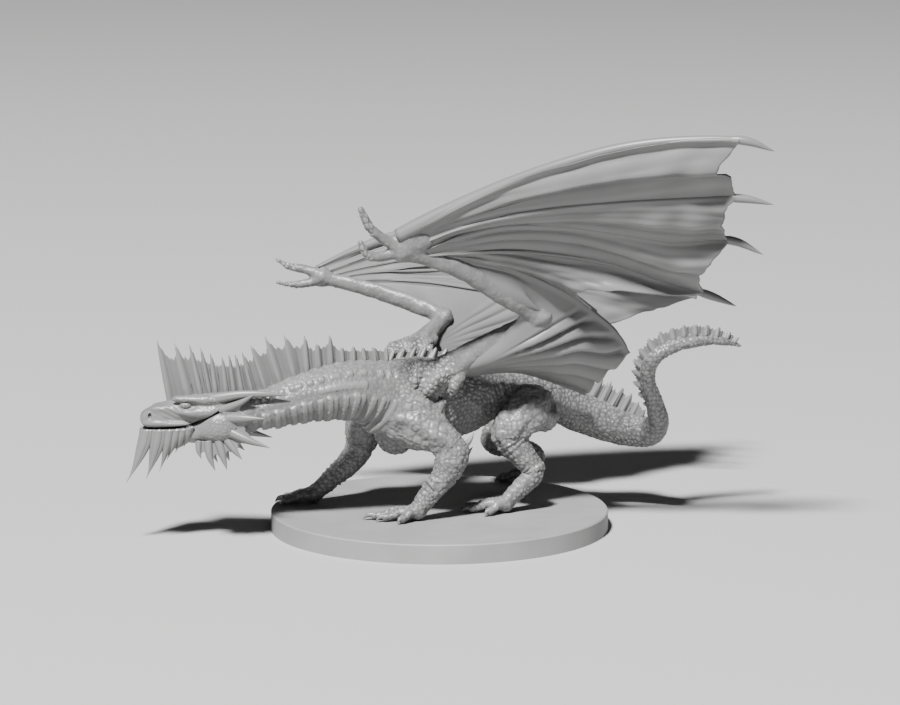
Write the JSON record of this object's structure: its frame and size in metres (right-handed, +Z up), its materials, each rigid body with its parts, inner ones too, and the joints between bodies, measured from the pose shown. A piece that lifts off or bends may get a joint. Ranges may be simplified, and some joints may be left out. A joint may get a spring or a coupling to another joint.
{
  "type": "winged dragon miniature on a round base",
  "caption": "Tabletop miniature of a crouching four-legged dragon with raised, spread wings, spined neck crest and curled tail, on a plain round disc base.",
  "frame": {"origin": "centre of the round base's underside", "axes": "+Z up, the dragon's head points to -X and its tail to +X, its left side faces -Y"},
  "size_m": [0.1396, 0.0852, 0.0925],
  "materials": {
    "figure_grey": "satin",
    "base_grey": "satin"
  },
  "bodies": {
    "figure": {"base_disc": "base_grey", "torso_left_shell": "figure_grey", "torso_right_shell": "figure_grey", "neck": "figure_grey", "head": "figure_grey", "lower_jaw": "figure_grey", "chin_beard": "figure_grey", "horn_left": "figure_grey", "horn_right": "figure_grey", "cheek_frill_left": "figure_grey", "cheek_frill_right": "figure_grey", "neck_crest": "figure_grey", "back_crest": "figure_grey", "tail_base": "figure_grey", "tail_crest": "figure_grey", "tail_tip": "figure_grey", "tail_tip_crest": "figure_grey", "foreleg_left": "figure_grey", "foreleg_right": "figure_grey", "hindleg_left": "figure_grey", "hindleg_right": "figure_grey"},
    "left_wing": {"wing_left_arm": "figure_grey", "wing_left_sail": "figure_grey"},
    "right_wing": {"wing_right_arm": "figure_grey", "wing_right_sail": "figure_grey"}
  },
  "joints": [
    {"name": "left_wing_pull", "type": "slide", "parent": "figure", "child": "left_wing", "axis": [0.3986, -0.6936, 0.6], "range_m": [0, 0.012]},
    {"name": "right_wing_pull", "type": "slide", "parent": "figure", "child": "right_wing", "axis": [-0.3986, 0.6936, 0.6], "range_m": [0, 0.012]}
  ]
}
